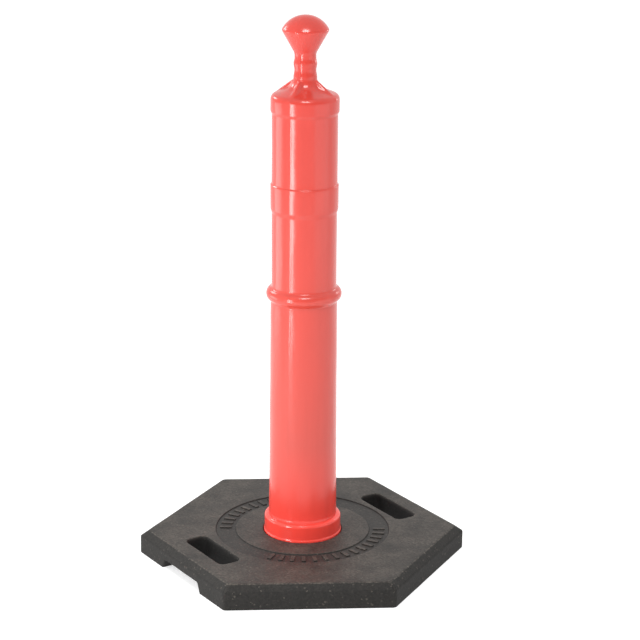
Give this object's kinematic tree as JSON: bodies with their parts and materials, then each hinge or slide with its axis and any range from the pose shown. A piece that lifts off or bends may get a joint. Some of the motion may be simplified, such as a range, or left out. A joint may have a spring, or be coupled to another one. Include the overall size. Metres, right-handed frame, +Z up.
{
  "type": "delineator post",
  "caption": "Portable traffic delineator: hollow orange plastic post with a knob grip, standing in a hexagonal black rubber base with hand slots.",
  "frame": {"origin": "centre of the base's underside, on the ground, on the post's axis", "axes": "+Z up along the post, +X through the two hand slots and square to two flats of the hexagon, +Y through two of its corners"},
  "size_m": [0.456, 0.5244, 0.8717],
  "materials": {
    "post_plastic": "semi-gloss moulded polyethylene, orange-red",
    "base_rubber": "matt pressed crumb rubber, charcoal"
  },
  "bodies": {
    "post": {"post": "post_plastic"},
    "base": {"base": "base_rubber"}
  },
  "joints": [
    {"name": "base_lift", "type": "slide", "parent": "post", "child": "base", "axis": [0, 0, 1], "range_m": [0, 0.88]}
  ]
}
